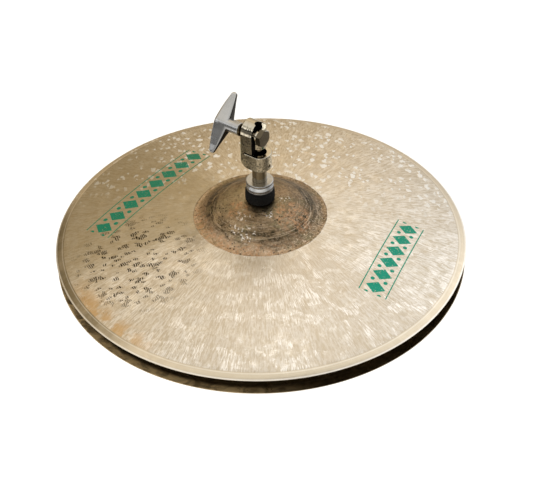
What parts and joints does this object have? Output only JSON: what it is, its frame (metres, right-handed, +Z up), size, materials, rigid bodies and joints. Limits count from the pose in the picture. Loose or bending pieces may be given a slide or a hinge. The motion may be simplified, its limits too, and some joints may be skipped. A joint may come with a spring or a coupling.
{
  "type": "hi hat",
  "caption": "Pair of facing thin cymbals on a pull rod: the upper hung from a clutch with a wing nut, the lower resting bell down on a felt seat.",
  "frame": {"origin": "centre of the seat stem's shoulder, where the stand's upper tube ends", "axes": "+Z up along the pull rod, -Y towards the front, +X to the right seen from the front"},
  "size_m": [0.3556, 0.3556, 0.2541],
  "materials": {
    "cymbal_bronze": "lathed and brushed bronze with a raw bell",
    "chrome": "polished chrome plate",
    "satin_nickel": "satin nickel plate",
    "rod_steel": "ground steel",
    "black_felt": "pressed wool felt",
    "nylon": "moulded nylon"
  },
  "bodies": {
    "seat": {"seat_stem": "chrome", "rod_bush": "nylon", "seat_cup": "chrome", "seat_washer": "satin_nickel", "seat_felt": "black_felt", "guide_sleeve": "nylon"},
    "lower_cymbal": {"bottom_cymbal": "cymbal_bronze"},
    "rod": {"pull_rod": "rod_steel"},
    "clutch": {"clutch_body": "chrome", "clutch_tube": "rod_steel", "collar_screw": "rod_steel", "clamp_bolt": "satin_nickel", "upper_felt": "black_felt", "lower_felt": "black_felt"},
    "upper_cymbal": {"top_cymbal": "cymbal_bronze"},
    "felt_plate": {"felt_washer": "satin_nickel"},
    "adjuster": {"adjusting_nut": "satin_nickel", "lock_ring": "satin_nickel"},
    "lower_plate": {"lower_washer": "satin_nickel"},
    "bottom_nut": {"lower_nut": "satin_nickel", "lock_insert": "nylon"},
    "wing_plate": {"wing_washer": "satin_nickel"},
    "wing": {"wing_nut": "satin_nickel"}
  },
  "joints": [
    {"name": "bottom_cymbal_spin", "type": "hinge", "parent": "seat", "child": "lower_cymbal", "pos_m": [0, 0, 0.0215], "axis": [0, 0, 1], "continuous": true},
    {"name": "pedal_stroke", "type": "slide", "parent": "seat", "child": "rod", "axis": [0, 0, 1], "range_m": [-0.0127, 0], "stiffness_N_per_m": 1500, "springref_m": 0.014},
    {"name": "clutch_height", "type": "slide", "parent": "rod", "child": "clutch", "axis": [0, 0, 1], "range_m": [0, 0.006]},
    {"name": "top_cymbal_spin", "type": "hinge", "parent": "clutch", "child": "upper_cymbal", "pos_m": [0, 0, 0.1091], "axis": [0, 0, 1], "continuous": true},
    {"name": "felt_washer_lift", "type": "slide", "parent": "clutch", "child": "felt_plate", "axis": [0, 0, 1], "range_m": [0, 0.00249]},
    {"name": "adjusting_nut_turn", "type": "hinge", "parent": "felt_plate", "child": "adjuster", "pos_m": [0, 0, 0.1231], "axis": [0, 0, 1], "range_deg": [0, 720]},
    {"name": "lower_washer_drop", "type": "slide", "parent": "clutch", "child": "lower_plate", "axis": [0, 0, -1], "range_m": [0, 0.00249]},
    {"name": "lower_nut_turn", "type": "hinge", "parent": "lower_plate", "child": "bottom_nut", "pos_m": [0, 0, 0.0941], "axis": [0, 0, -1], "range_deg": [0, 720]},
    {"name": "wing_washer_slide", "type": "slide", "parent": "clutch", "child": "wing_plate", "axis": [-0.7986, 0.6018, 0], "range_m": [0, 0.00159]},
    {"name": "wing_nut_turn", "type": "hinge", "parent": "wing_plate", "child": "wing", "pos_m": [-0.00379, -0.00503, 0.1783], "axis": [-0.7986, 0.6018, 0], "range_deg": [0, 720]}
  ],
  "couplings": [
    {"joint": "adjusting_nut_turn", "follows": "felt_washer_lift", "rad_per_m": 5026.5},
    {"joint": "lower_nut_turn", "follows": "lower_washer_drop", "rad_per_m": 5026.5},
    {"joint": "wing_nut_turn", "follows": "wing_washer_slide", "rad_per_m": 7854}
  ]
}
